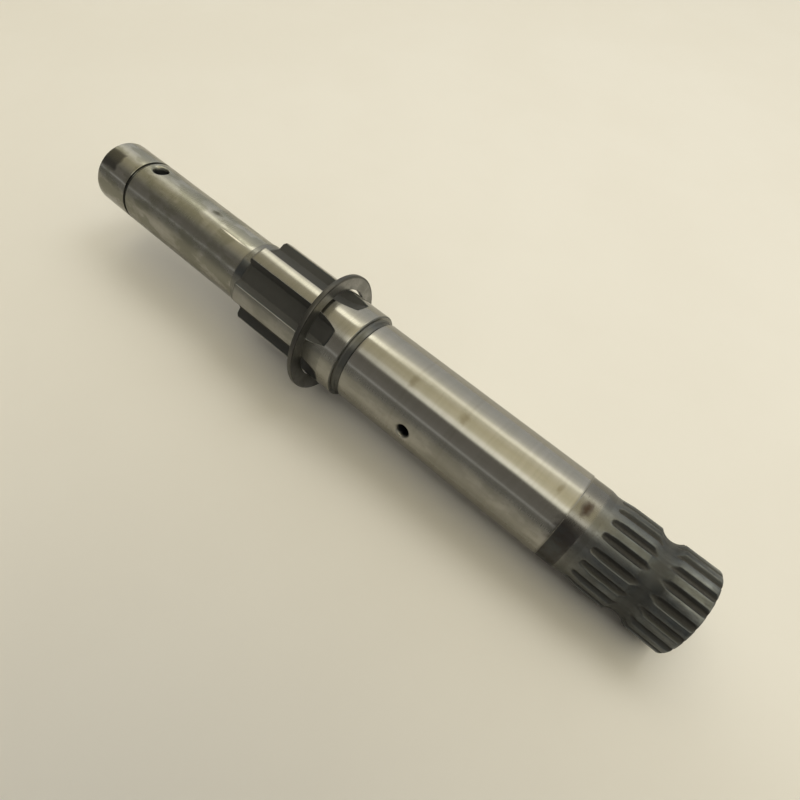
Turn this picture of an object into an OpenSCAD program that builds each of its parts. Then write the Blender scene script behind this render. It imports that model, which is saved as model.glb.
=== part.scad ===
// Kickstart shaft: a turned steel shaft with an inner spindle, a coarse spline,
// a ground main journal and a serrated outer end, with a loose thrust washer on the spline.
// The axis is X, from the inner end to the serrated end, with the origin at mid journal.
// Angles round the axis are counted from +Z towards +Y.

/* [Inner spindle] */
// Diameter of the inner spindle
spindle_d = 18.5; // [16:0.1:20]
// Length from the inner end to the spline collar
spindle_l = 56.9; // [40:0.1:80]
// Chamfer on the inner end
spindle_chamfer = 0.3; // [0.2:0.1:1.5]
// Distance from the inner end to the middle of the snap ring groove
ring_groove_x = 12.3; // [5:0.1:12.5]
// Width of the snap ring groove
ring_groove_w = 1.1; // [0.8:0.1:1.6]
// Depth of the snap ring groove
ring_groove_depth = 0.7; // [0.3:0.1:1]
// Distance from the inner end to the spring hole
spring_hole_x = 16.2; // [15.5:0.1:30]
// Diameter of the hole that takes the return spring's hook
spring_hole_d = 4.2; // [3:0.1:5]
// Angle of the spring hole round the axis
spring_hole_angle = 15.5; // [-180:0.5:180]

/* [Spline] */
// Diameter over the spline teeth
spline_d = 24; // [23.5:0.1:26]
// Length from the tooth ends to the tips of the slot run-outs
spline_l = 31.1; // [24:0.1:40]
// Number of spline teeth
tooth_count = 6; // [4:1:6]
// Angle of the first tooth round the axis
tooth_angle = -6; // [-30:0.5:30]
// Width of the slot floor between two teeth
slot_floor_w = 4.5; // [3:0.1:5]
// Slope of the slot walls from the radius
slot_wall_angle = 42; // [20:1:44]
// Height of the slot floor over the collar
slot_floor_step = 0.05; // [0.05:0.05:0.4]
// Diameter of the cutter that leaves the slot run-outs
slot_cutter_d = 30; // [20:1:50]
// Chamfer on the tooth ends
tooth_chamfer = 0.6; // [0.2:0.1:1]
// Length of the plain collar before the teeth
collar_l = 3; // [1:0.1:5]
// Height of the collar over the spindle
collar_step = 0.2; // [0.2:0.05:0.4]

/* [Main journal] */
// Diameter of the ground main journal
journal_d = 22; // [21.6:0.05:23]
// Length of the ground main journal
journal_l = 59.1; // [40:0.1:80]
// Length of the plain land between the slots and the thrust shoulder
land_l = 4.3; // [3:0.1:8]
// Chamfer on the thrust shoulder
shoulder_chamfer = 0.3; // [0.1:0.1:0.5]
// Length of the grinding relief beside the shoulder
relief_l = 2.2; // [1.2:0.1:2.5]
// Depth of the grinding relief below the journal
relief_depth = 0.4; // [0.2:0.1:0.8]
// Distance from the journal's inner edge to the oil hole
oil_hole_x = 19.9; // [10:0.1:30]
// Diameter of the oil hole
oil_hole_d = 3.4; // [2:0.1:5]
// Angle of the oil hole round the axis
oil_hole_angle = -75.5; // [-180:0.5:180]
// Depth of the countersink on the cross holes
hole_countersink = 0.4; // [0.1:0.1:0.6]
// Diameter of the oil gallery drilled from the inner end
gallery_d = 5; // [3:0.1:6]
// Length of the gallery past the middle of the oil hole
gallery_overrun = 4; // [3:0.5:8]

/* [Serrated end] */
// Diameter over the serration teeth
serration_d = 21.6; // [20.5:0.1:21.8]
// Length of the serrated end
serration_l = 24; // [20:0.1:30]
// Number of serration teeth
serration_count = 18; // [16:1:20]
// Depth of the serration grooves
serration_depth = 0.95; // [0.6:0.05:1]
// Width of the floor of a serration groove
serration_floor_w = 0.5; // [0.3:0.05:0.8]
// Slope of the serration flanks from the radius
serration_wall_angle = 40; // [30:1:42]
// Length of the slope from the neck up to the full height of the serration teeth
serration_lead_l = 3; // [1.5:0.1:4]
// Length of the unground band beside the journal
band_l = 4.7; // [2:0.1:6]
// Depth of the unground band below the journal
band_step = 0.2; // [0.2:0.05:0.4]
// Length of the cone from the band down to the neck
cone_l = 1.8; // [1.5:0.1:3]
// Length of the neck before the serration
neck_l = 1; // [0.8:0.1:3]
// Depth of the neck below the tops of the serration teeth
neck_depth = 0.35; // [0.2:0.05:0.8]
// Distance from the outer end to the middle of the pinch bolt groove
pinch_groove_x = 11.4; // [10:0.1:13.5]
// Radius of the pinch bolt groove's section
pinch_groove_r = 4; // [2.8:0.1:4.5]
// Depth of the pinch bolt groove below the tooth tops
pinch_groove_depth = 1.2; // [0.8:0.1:1.6]
// Chamfer on the outer end
end_chamfer = 0.6; // [0.3:0.1:1.5]
// Mouth diameter of the lathe centre in the outer end
centre_d = 5; // [3:0.1:7]
// Diameter of the lathe centre's pilot drilling
centre_pilot_d = 2; // [1:0.1:2.5]
// Length of the lathe centre's pilot drilling
centre_pilot_l = 6; // [5:0.1:8]

/* [Thrust washer] */
// Outer diameter of the washer
washer_od = 32.4; // [30:0.1:36]
// Thickness of the washer
washer_t = 1.2; // [0.6:0.1:1.6]
// Clearance between the washer's bore and the spline, on the diameter
washer_clearance = 1; // [0.8:0.1:1.4]
// Gap left under the spline where it lies in the washer
washer_seat_gap = 0.25; // [0.2:0.05:0.35]
// Distance from the tips of the slot run-outs back to the washer
washer_back = 6.2; // [2:0.1:20]
// Angle that the loose washer has turned to one side
washer_yaw = 4.5; // [0:0.5:5]
// Break on the washer's stamped edges
washer_edge = 0.15; // [0.05:0.05:0.25]

/* [Hidden] */
$fn = 128;
// Overshoot of a cut past the surface that it opens
cut = 1;
// Half of a lathe centre's 60 degree cone
centre_half_angle = 30;

spindle_r = spindle_d / 2;
ring_groove_r = spindle_r - ring_groove_depth;
collar_r = spindle_r + collar_step;
slot_floor_r = collar_r + slot_floor_step;
spline_r = spline_d / 2;
slot_depth = spline_r - slot_floor_r;
slot_cutter_r = slot_cutter_d / 2;
tooth_pitch = 360 / tooth_count;
journal_r = journal_d / 2;
relief_r = journal_r - relief_depth;
band_r = journal_r - band_step;
serration_r = serration_d / 2;
serration_floor_r = serration_r - serration_depth;
serration_pitch = 360 / serration_count;
neck_r = serration_r - neck_depth;

// Stations along the axis
x_journal_in = -journal_l / 2;
x_shoulder = x_journal_in - relief_l;
x_runout = x_shoulder - land_l;
x_teeth = x_runout - spline_l;
x_collar = x_teeth - collar_l;
x_inner_end = x_collar - spindle_l;
x_ring_groove = x_inner_end + ring_groove_x;
x_spring_hole = x_inner_end + spring_hole_x;
x_oil_hole = x_journal_in + oil_hole_x;
x_journal_out = journal_l / 2;
x_band = x_journal_out + band_l;
x_neck = x_band + cone_l;
x_serration = x_neck + neck_l;
x_outer_end = x_serration + serration_l;
x_pinch_groove = x_outer_end - pinch_groove_x;
x_washer = x_runout - washer_back;
// The cutter rises out of the spline surface at the tip of the run-out
x_cutter = x_runout - sqrt(slot_cutter_r ^ 2 - (slot_cutter_r - slot_depth) ^ 2);

// The shaft lies on the washer and on two serration teeth, so the washer leans by that slope
washer_bore_r = (spline_d + washer_clearance) / 2;
washer_lift = washer_bore_r - spline_r - washer_seat_gap;
washer_drop = washer_od / 2 - washer_lift;
serration_drop = serration_r * cos(serration_pitch / 2);
rest_slope = atan((washer_drop - serration_drop) / (x_outer_end - end_chamfer - x_washer));

// Turns a section drawn as [radius, station] about the X axis
module turn() {
    rotate([0, 90, 0]) rotate_extrude() children();
}

// Turns its child from +Z to an angle round the axis
module at_angle(angle) {
    rotate([-angle, 0, 0]) children();
}

// The shaft as it leaves the lathe
module turned_blank() {
    turn() polygon([
        [0, x_inner_end],
        [spindle_r - spindle_chamfer, x_inner_end],
        [spindle_r, x_inner_end + spindle_chamfer],
        [spindle_r, x_ring_groove - ring_groove_w / 2],
        [ring_groove_r, x_ring_groove - ring_groove_w / 2],
        [ring_groove_r, x_ring_groove + ring_groove_w / 2],
        [spindle_r, x_ring_groove + ring_groove_w / 2],
        [spindle_r, x_collar],
        [collar_r, x_collar],
        [collar_r, x_teeth],
        [spline_r - tooth_chamfer, x_teeth],
        [spline_r, x_teeth + tooth_chamfer],
        [spline_r, x_shoulder - shoulder_chamfer],
        [spline_r - shoulder_chamfer, x_shoulder],
        [journal_r, x_shoulder],
        [relief_r, x_shoulder + relief_depth],
        [relief_r, x_journal_in - relief_depth],
        [journal_r, x_journal_in],
        [journal_r, x_journal_out],
        [band_r, x_journal_out + band_step],
        [band_r, x_band],
        [neck_r, x_neck],
        [neck_r, x_serration],
        [serration_r, x_serration + serration_lead_l],
        [serration_r, x_outer_end - end_chamfer],
        [serration_r - end_chamfer, x_outer_end],
        [0, x_outer_end],
    ]);
}

// A straight groove along the axis on the +Z side, with a flat floor and sloping walls
module straight_groove(x_from, x_to, floor_r, floor_w, depth, wall_angle) {
    reach = depth + cut;
    top_w = floor_w + 2 * reach * tan(wall_angle);
    translate([x_from, 0, floor_r]) rotate([90, 0, 90]) linear_extrude(x_to - x_from)
        polygon([[-floor_w / 2, 0], [floor_w / 2, 0], [top_w / 2, reach], [-top_w / 2, reach]]);
}

// The wheel of a form cutter with the slot's section, standing over the end of its cut
module slot_cutter() {
    reach = slot_depth + cut;
    wheel_w = slot_floor_w + 2 * reach * tan(slot_wall_angle);
    rotate([90, 0, 0]) rotate_extrude() polygon([
        [0, -wheel_w / 2],
        [slot_cutter_r - reach, -wheel_w / 2],
        [slot_cutter_r, -slot_floor_w / 2],
        [slot_cutter_r, slot_floor_w / 2],
        [slot_cutter_r - reach, wheel_w / 2],
        [0, wheel_w / 2],
    ]);
}

// One slot between two spline teeth, open at the collar and running out before the land
module spline_slot() {
    straight_groove(x_teeth - cut, x_cutter, slot_floor_r, slot_floor_w, slot_depth, slot_wall_angle);
    translate([x_cutter, 0, slot_floor_r + slot_cutter_r]) slot_cutter();
}

// One groove of the serration, from a square start in the neck out through the end face
module serration_groove() {
    straight_groove(x_serration - neck_l / 2, x_outer_end + cut, serration_floor_r,
        serration_floor_w, serration_depth, serration_wall_angle);
}

// A drilling from the axis out through a round surface on the +Z side, countersunk at its mouth
module cross_hole(hole_d, surface_r) {
    cylinder(d = hole_d, h = surface_r + cut);
    translate([0, 0, surface_r - hole_countersink])
        cylinder(d1 = hole_d, d2 = hole_d + 2 * (hole_countersink + cut), h = hole_countersink + cut);
}

// The oil gallery along the axis, with the inner end's lathe centre worn into its mouth
module oil_gallery() {
    mouth_l = (centre_d - gallery_d / 2) / 2 / tan(centre_half_angle);
    translate([x_inner_end - cut, 0, 0]) rotate([0, 90, 0])
        cylinder(d = gallery_d, h = x_oil_hole + gallery_overrun - x_inner_end + cut);
    translate([x_inner_end, 0, 0]) rotate([0, 90, 0])
        cylinder(d1 = gallery_d + 2 * mouth_l * tan(centre_half_angle), d2 = gallery_d, h = mouth_l);
}

// The lathe centre in the outer end
module outer_centre() {
    cone_depth = (centre_d - centre_pilot_d) / 2 / tan(centre_half_angle);
    translate([x_outer_end, 0, 0]) rotate([0, -90, 0]) {
        cylinder(d1 = centre_d, d2 = centre_pilot_d, h = cone_depth);
        translate([0, 0, -cut]) cylinder(d = centre_pilot_d, h = centre_pilot_l + cut);
    }
}

module kick_shaft() {
    color([0.60, 0.59, 0.56]) difference() {
        turned_blank();
        for (i = [0 : tooth_count - 1])
            at_angle(tooth_angle + (i + 0.5) * tooth_pitch) spline_slot();
        for (i = [0 : serration_count - 1])
            at_angle(i * serration_pitch) serration_groove();
        turn() translate([serration_r + pinch_groove_r - pinch_groove_depth, x_pinch_groove])
            circle(r = pinch_groove_r);
        translate([x_spring_hole, 0, 0]) at_angle(spring_hole_angle)
            cross_hole(spring_hole_d, spindle_r);
        translate([x_oil_hole, 0, 0]) at_angle(oil_hole_angle)
            cross_hole(oil_hole_d, journal_r);
        oil_gallery();
        outer_centre();
    }
}

module thrust_washer() {
    washer_r = washer_od / 2;
    half_t = washer_t / 2;
    color([0.24, 0.24, 0.23])
        translate([x_washer, 0, washer_lift]) rotate([0, -rest_slope, washer_yaw]) turn() polygon([
            [washer_bore_r + washer_edge, -half_t],
            [washer_r - washer_edge, -half_t],
            [washer_r, -half_t + washer_edge],
            [washer_r, half_t - washer_edge],
            [washer_r - washer_edge, half_t],
            [washer_bore_r + washer_edge, half_t],
            [washer_bore_r, half_t - washer_edge],
            [washer_bore_r, -half_t + washer_edge],
        ]);
}

kick_shaft();
thrust_washer();
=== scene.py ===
import math
import bmesh
import bpy
import numpy as np
from mathutils import Matrix, Vector


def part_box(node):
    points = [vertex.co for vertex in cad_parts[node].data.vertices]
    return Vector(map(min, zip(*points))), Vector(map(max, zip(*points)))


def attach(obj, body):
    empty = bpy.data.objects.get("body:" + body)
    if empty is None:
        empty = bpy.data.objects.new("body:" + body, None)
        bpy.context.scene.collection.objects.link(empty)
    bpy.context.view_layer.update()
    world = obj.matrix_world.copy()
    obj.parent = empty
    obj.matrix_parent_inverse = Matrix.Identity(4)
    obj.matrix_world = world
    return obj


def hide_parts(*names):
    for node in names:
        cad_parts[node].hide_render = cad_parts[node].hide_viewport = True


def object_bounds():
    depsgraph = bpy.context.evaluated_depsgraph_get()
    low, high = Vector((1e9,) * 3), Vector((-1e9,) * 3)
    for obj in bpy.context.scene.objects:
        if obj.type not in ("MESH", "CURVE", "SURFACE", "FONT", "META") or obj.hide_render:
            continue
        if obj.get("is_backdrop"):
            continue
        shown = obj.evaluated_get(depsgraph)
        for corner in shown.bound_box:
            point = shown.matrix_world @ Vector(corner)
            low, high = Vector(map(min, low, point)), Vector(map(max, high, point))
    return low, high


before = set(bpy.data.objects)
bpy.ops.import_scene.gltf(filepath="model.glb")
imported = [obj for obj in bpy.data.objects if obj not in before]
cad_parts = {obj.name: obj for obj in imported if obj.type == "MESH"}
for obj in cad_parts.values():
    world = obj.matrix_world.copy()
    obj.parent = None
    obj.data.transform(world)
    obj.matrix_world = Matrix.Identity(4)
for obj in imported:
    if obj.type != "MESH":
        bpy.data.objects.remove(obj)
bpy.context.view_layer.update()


# Kick shaft, the turned form. The real shaft is one bar of case hardening steel, turned between centres:
# an inner spindle with a snap ring groove, a collar, the spline, a thrust shoulder, the main journal, a
# neck and the lever end. Lengths here are millimetres along X from mid journal, and radii from the axis.
MM = 0.001
X_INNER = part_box("kick_shaft")[0][0] / MM
X_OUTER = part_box("kick_shaft")[1][0] / MM
SPINDLE_R = 9.25
SPINDLE_CHAMFER = 0.3
X_RING_GROOVE = X_INNER + 12.3
RING_GROOVE_HALF = 0.55
RING_GROOVE_R = 8.55
X_SPRING_HOLE = X_INNER + 16.2
X_COLLAR = X_INNER + 56.9
COLLAR_R = 9.45
X_TEETH = X_COLLAR + 3.0
SPLINE_R = 12.0
TOOTH_CHAMFER = 0.6
X_RUNOUT = X_TEETH + 31.1
X_SHOULDER = X_RUNOUT + 4.3
SHOULDER_CHAMFER = 0.3
JOURNAL_R = 11.0
RELIEF_R = 10.6
RELIEF_BEVEL = 0.4
X_JOURNAL_IN = X_SHOULDER + 2.2
X_OIL_HOLE = X_JOURNAL_IN + 19.9
X_JOURNAL_OUT = X_JOURNAL_IN + 59.1
BAND_R = 10.8
BAND_BEVEL = 0.2
X_BAND = X_JOURNAL_OUT + 4.7
X_NECK = X_BAND + 1.8
NECK_R = 10.45
X_SERRATION = X_NECK + 1.0
SERRATION_R = 10.8
SERRATION_LEAD = 3.0
X_PINCH = X_OUTER - 11.4
PINCH_R = 4.0
PINCH_DEPTH = 1.2
END_CHAMFER = 0.6
CONE_TAN = math.tan(math.radians(30.0))
GALLERY_R = 2.5
GALLERY_MOUTH_R = 3.75
GALLERY_MOUTH_L = (GALLERY_MOUTH_R - GALLERY_R) / CONE_TAN
X_GALLERY_END = X_OIL_HOLE + 4.0
PILOT_R = 1.0
PILOT_L = 6.0
CENTRE_R = 2.5
CENTRE_CONE_L = (CENTRE_R - PILOT_R) / CONE_TAN

# A drilled hole takes a square block of the grid: the lines from its middle to the edge of its flat bottom,
# to its rim and to the edge of the block, and the distance between the stations of each block
HOLE_BOTTOM_RINGS = 5
HOLE_RINGS = 12
HOLE_WINDOW = 17
SPRING_HOLE_STEP = 0.188
OIL_HOLE_STEP = 0.235


def soft_path(corners, bend_points=4):
    """Polyline of (x, r) through the corners, for a turned profile.

    A corner is (x, r, rounding, stations). Each corner is replaced by a parabola that starts and ends the
    rounding away along its two sides, B(t) = (1-t)^2 A + 2t(1-t) C + t^2 D. The stations, a count of equal
    parts or, on a straight cylinder, a list of places along X, divide the run on to the next corner.
    """
    points = np.array([corner[:2] for corner in corners], dtype=float)
    t = np.linspace(0.0, 1.0, bend_points)[:, None]
    runs = []
    for i, (_, _, soft, stations) in enumerate(corners):
        here = points[i]
        if soft == 0.0:
            bend = here[None, :]
        else:
            before = points[i - 1] - here
            after = points[i + 1] - here
            a = here + before * soft / np.linalg.norm(before)
            d = here + after * soft / np.linalg.norm(after)
            bend = (1 - t) ** 2 * a + 2 * t * (1 - t) * here + t ** 2 * d
        runs.append(bend)
        if i + 1 < len(corners):
            start = bend[-1]
            ahead = points[i + 1] - here
            end = points[i + 1] - ahead * corners[i + 1][2] / np.linalg.norm(ahead)
            if np.ndim(stations) == 0:
                fractions = np.linspace(0.0, 1.0, stations + 1)[1:-1]
                runs.append(start + fractions[:, None] * (end - start))
            else:
                runs.append(np.stack([stations, np.full(len(stations), here[1])], axis=1))
    return np.concatenate(runs)


spring_hole_stations = X_SPRING_HOLE + SPRING_HOLE_STEP * np.arange(-HOLE_WINDOW, HOLE_WINDOW + 1)
spindle_stations = np.concatenate([
    spring_hole_stations,
    np.linspace(X_SPRING_HOLE + 6.0, X_COLLAR - 1.2, 9),
    [X_COLLAR - 0.4, X_COLLAR - 0.18],
])
collar_stations = np.array([X_COLLAR + 0.25, X_COLLAR + 0.5, X_COLLAR + 1.5, X_TEETH - 0.6, X_TEETH - 0.3])
oil_hole_stations = X_OIL_HOLE + OIL_HOLE_STEP * np.arange(-HOLE_WINDOW, HOLE_WINDOW + 1)
journal_stations = np.concatenate([
    np.linspace(X_JOURNAL_IN + 1.0, X_OIL_HOLE - 6.0, 4),
    oil_hole_stations,
    np.linspace(X_OIL_HOLE + 7.0, X_JOURNAL_OUT - 1.0, 6),
])
runout_stations = X_RUNOUT - np.concatenate([np.linspace(9.2, 0.8, 13), np.linspace(0.65, 0.0, 7)])
spline_stations = np.concatenate([
    [X_TEETH + 1.0, X_TEETH + 1.3],
    np.linspace(X_TEETH + 3.0, X_RUNOUT - 11.0, 4),
    runout_stations,
    [X_RUNOUT + 0.15, X_RUNOUT + 0.6, X_RUNOUT + 2.2],
])
pinch_half = math.sqrt(PINCH_R ** 2 - (PINCH_R - PINCH_DEPTH) ** 2)
pinch_turn = np.linspace(-math.asin(pinch_half / PINCH_R), math.asin(pinch_half / PINCH_R), 15)
pinch_arc = np.stack([
    X_PINCH + PINCH_R * np.sin(pinch_turn),
    SERRATION_R + PINCH_R - PINCH_DEPTH - PINCH_R * np.cos(pinch_turn),
], axis=1)

inner_profile = soft_path([
    (X_GALLERY_END, 0.0, 0.0, 3),
    (X_GALLERY_END, GALLERY_R, 0.2, 6),
    (X_INNER + GALLERY_MOUTH_L, GALLERY_R, 0.1, 3),
    (X_INNER, GALLERY_MOUTH_R, 0.12, 5),
    (X_INNER, SPINDLE_R - SPINDLE_CHAMFER, 0.08, 2),
    (X_INNER + SPINDLE_CHAMFER, SPINDLE_R, 0.1, 6),
    (X_RING_GROOVE - RING_GROOVE_HALF, SPINDLE_R, 0.1, 2),
    (X_RING_GROOVE - RING_GROOVE_HALF, RING_GROOVE_R, 0.12, 2),
    (X_RING_GROOVE + RING_GROOVE_HALF, RING_GROOVE_R, 0.12, 2),
    (X_RING_GROOVE + RING_GROOVE_HALF, SPINDLE_R, 0.1, spindle_stations),
    (X_COLLAR, SPINDLE_R, 0.06, 1),
    (X_COLLAR, COLLAR_R, 0.08, collar_stations),
    (X_TEETH, COLLAR_R, 0.0, 7),
    (X_TEETH, SPLINE_R - TOOTH_CHAMFER, 0.12, 2),
    (X_TEETH + TOOTH_CHAMFER, SPLINE_R, 0.15, spline_stations),
    (X_SHOULDER - SHOULDER_CHAMFER, SPLINE_R, 0.12, 1),
    (X_SHOULDER, SPLINE_R - SHOULDER_CHAMFER, 0.1, 1),
    (X_SHOULDER, JOURNAL_R, 0.1, 1),
    (X_SHOULDER + RELIEF_BEVEL, RELIEF_R, 0.15, 2),
    (X_JOURNAL_IN - RELIEF_BEVEL, RELIEF_R, 0.15, 1),
    (X_JOURNAL_IN, JOURNAL_R, 0.15, journal_stations),
    (X_JOURNAL_OUT, JOURNAL_R, 0.1, 1),
    (X_JOURNAL_OUT + BAND_BEVEL, BAND_R, 0.1, 8),
    (X_BAND, BAND_R, 0.3, 4),
    (X_NECK, NECK_R, 0.4, 5),
    (X_SERRATION, NECK_R, 0.2, 11),
    (X_SERRATION + SERRATION_LEAD, SERRATION_R, 0.5, 5),
    (X_PINCH - pinch_half, SERRATION_R, 0.0, 1),
])
outer_profile = soft_path([
    (X_PINCH + pinch_half, SERRATION_R, 0.0, 6),
    (X_OUTER - END_CHAMFER, SERRATION_R, 0.3, 2),
    (X_OUTER, SERRATION_R - END_CHAMFER, 0.25, 6),
    (X_OUTER, CENTRE_R, 0.1, 3),
    (X_OUTER - CENTRE_CONE_L, PILOT_R, 0.1, 3),
    (X_OUTER - PILOT_L, PILOT_R, 0.1, 2),
    (X_OUTER - PILOT_L, 0.0, 0.0, 1),
])
profile = np.concatenate([inner_profile, pinch_arc[1:-1], outer_profile])
shaft_x = profile[:, 0]
shaft_r = profile[:, 1]


# Kick shaft, the cut forms. Six slots are milled between the spline teeth by a wheel that leaves round
# run-outs, eighteen grooves are hobbed on the lever end, and the spring hole and the oil hole are drilled
# across. The grid lines round the shaft follow the corners of these cuts, so that their edges stay crisp.
LINES = 288
TOOTH_COUNT = 6
FIRST_SLOT_ANGLE = 24.0
SLOT_FLOOR_R = 9.5
SLOT_FLOOR_HALF = 2.25
SLOT_WALL_TAN = math.tan(math.radians(42.0))
SLOT_CUTTER_R = 15.0
SERRATION_COUNT = 18
FIRST_GROOVE_ANGLE = 20.0
GROOVE_FLOOR_R = 9.85
GROOVE_FLOOR_HALF = 0.25
GROOVE_WALL_TAN = math.tan(math.radians(40.0))
SPRING_HOLE_R = 2.1
SPRING_HOLE_ANGLE = 15.5
SPRING_HOLE_DEPTH = 6.3
OIL_HOLE_R = 1.7
OIL_HOLE_ANGLE = -75.5
OIL_HOLE_DEPTH = 7.0
COUNTERSINK = 0.4
NO_CUT = 99.0
slot_depth = SPLINE_R - SLOT_FLOOR_R
x_cutter = X_RUNOUT - math.sqrt(SLOT_CUTTER_R ** 2 - (SLOT_CUTTER_R - slot_depth) ** 2)
cutter_height = SLOT_FLOOR_R + SLOT_CUTTER_R


def slot_surface(x, turn):
    """Radius of the milled slot at station x and angle turn from the slot's middle, in radians.

    Along the straight part the floor is flat at its height h, so r = h / cos(turn), and a wall is the line
    where the width grows with the height by the wall's slope. Under the cutter's last position both become
    the wheel's surface: a circle of the cutter's radius over the floor, and a cone over the wall. The cut
    is the space inside both, so its surface is the larger of the two radii.
    """
    c = np.cos(turn)
    s = np.sin(np.abs(turn))
    along = np.maximum(x - x_cutter, 0.0)
    lift = cutter_height - np.sqrt(np.maximum(SLOT_CUTTER_R ** 2 - along ** 2, 0.0))
    floor = lift / c
    reach = SLOT_CUTTER_R + SLOT_FLOOR_HALF / SLOT_WALL_TAN
    k = s / SLOT_WALL_TAN
    qa = c ** 2 - k ** 2
    qb = -2 * cutter_height * c + 2 * reach * k
    qc = cutter_height ** 2 + along ** 2 - reach ** 2
    root = np.sqrt(np.maximum(qb ** 2 - 4 * qa * qc, 0.0))
    wall = np.where(np.abs(qa) > 1e-9, (-qb - root) / (2 * qa), NO_CUT)
    wall = np.where(qb ** 2 - 4 * qa * qc < 0.0, NO_CUT, wall)
    wall = np.where(wall <= 0.0, NO_CUT, wall)
    inside = (x >= X_TEETH - 0.01) & (x <= X_RUNOUT + 0.3)
    return np.where(inside, np.minimum(np.maximum(floor, wall), NO_CUT), NO_CUT)


def smooth_step(a, b, x):
    """Rises from 0 at a to 1 at b as 3t^2 - 2t^3."""
    t = np.clip((x - a) / (b - a), 0.0, 1.0)
    return t * t * (3 - 2 * t)


def groove_surface(x, turn):
    """Radius of a serration groove at angle turn from its middle: the larger of the flat floor's
    h / cos(turn) and the sloping wall's (h tan - w) / (tan cos(turn) - sin(turn)). The height h comes down
    from the neck's surface to the full depth where the hob has run in."""
    c = np.cos(turn)
    s = np.sin(np.abs(turn))
    run_in = smooth_step(X_SERRATION, X_SERRATION + 0.8, x)
    height = NECK_R + 0.1 - (NECK_R + 0.1 - GROOVE_FLOOR_R) * run_in
    floor = height / c
    slope = np.maximum(GROOVE_WALL_TAN * c - s, 1e-6)
    wall = (height * GROOVE_WALL_TAN - GROOVE_FLOOR_HALF) / slope
    return np.where(x >= X_NECK, np.maximum(floor, wall), NO_CUT)


def soft_min(a, b, soft):
    """The smaller of a and b, with the edge where they meet rounded off over the width soft."""
    gap = np.maximum(soft - np.abs(a - b), 0.0)
    return np.minimum(a, b) - gap ** 2 / (4 * soft)


def slot_corner_angles(x):
    """Angles, in degrees from a slot's middle, of the floor's corner and of the wall's top edge at x."""
    along = np.clip(x - x_cutter, 0.0, X_RUNOUT - x_cutter)
    lift = cutter_height - np.sqrt(SLOT_CUTTER_R ** 2 - along ** 2)
    floor_turn = np.degrees(np.arctan2(SLOT_FLOOR_HALF, lift))
    turns = np.radians(np.linspace(0.0, 28.0, 1500))
    radii = slot_surface(np.clip(x, X_TEETH, X_RUNOUT)[:, None], turns[None, :])
    top_turn = np.degrees(turns[np.argmax(radii >= SPLINE_R, axis=1)])
    top_turn = np.maximum(top_turn, floor_turn + 0.5)
    return floor_turn, top_turn


def line_angles(x):
    """Angles of the grid lines round the shaft, in degrees, one row for each station.

    On the spline each sector's lines divide the floor, the wall and the tooth top by fixed fractions, on
    the serration they do the same for each groove, and on the round parts they are even. Between those
    parts a row is the weighted mean of the two.
    """
    floor_parts = np.array([0.0, 0.2, 0.42, 0.64, 0.82, 0.95])
    wall_parts = np.array([0.0, 0.06, 0.25, 0.5, 0.75, 0.92])
    top_parts = np.array([0.0, 0.015, 0.045, 0.1, 0.18, 0.28, 0.4, 0.52, 0.64, 0.76, 0.88, 0.95])
    floor_turn, top_turn = slot_corner_angles(x)
    half_sector = 180.0 / TOOTH_COUNT
    half = np.concatenate([
        floor_turn[:, None] * floor_parts,
        floor_turn[:, None] + (top_turn - floor_turn)[:, None] * wall_parts,
        top_turn[:, None] + (half_sector - top_turn)[:, None] * top_parts,
        np.full((len(x), 1), half_sector),
    ], axis=1)
    sector = np.concatenate([half[:, :-1], 2 * half_sector - half[:, :0:-1]], axis=1)
    starts = FIRST_SLOT_ANGLE + 2 * half_sector * np.arange(TOOTH_COUNT)
    spline = (starts[None, :, None] + sector[:, None, :]).reshape(len(x), LINES)
    half_tooth = 180.0 / SERRATION_COUNT
    floor_edge = math.degrees(math.atan2(GROOVE_FLOOR_HALF, GROOVE_FLOOR_R))
    wall_foot = GROOVE_FLOOR_R * GROOVE_WALL_TAN - GROOVE_FLOOR_HALF
    wall_share = wall_foot / SERRATION_R / math.hypot(GROOVE_WALL_TAN, 1)
    top_edge = math.degrees(math.acos(wall_share) - math.atan2(1, GROOVE_WALL_TAN))
    groove_half = np.concatenate([
        [0.0, floor_edge],
        floor_edge + (top_edge - floor_edge) * np.array([0.29, 0.61, 0.88, 1.0]),
        top_edge + (half_tooth - top_edge) * np.array([0.11, 0.52, 1.0]),
    ])
    groove = np.concatenate([groove_half[:-1], 2 * half_tooth - groove_half[:0:-1]])
    groove_starts = FIRST_GROOVE_ANGLE + 2 * half_tooth * np.arange(SERRATION_COUNT)
    serration = (groove_starts[:, None] + groove[None, :]).reshape(1, LINES)
    even = FIRST_SLOT_ANGLE + np.arange(LINES)[None, :] * 360.0 / LINES
    on_spline = smooth_step(X_COLLAR - 9.0, X_COLLAR - 1.5, x)
    on_spline = on_spline - smooth_step(X_RUNOUT + 1.0, X_JOURNAL_IN + 9.0, x)
    on_serration = smooth_step(X_JOURNAL_OUT - 16.0, X_BAND, x)[:, None]
    inside_bore = (np.arange(len(x)) < bore_stations) | (np.arange(len(x)) >= len(x) - bore_stations)
    on_spline = np.where(inside_bore, 0.0, on_spline)[:, None]
    return even + on_spline * (spline - even) + on_serration * (serration - even)


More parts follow.
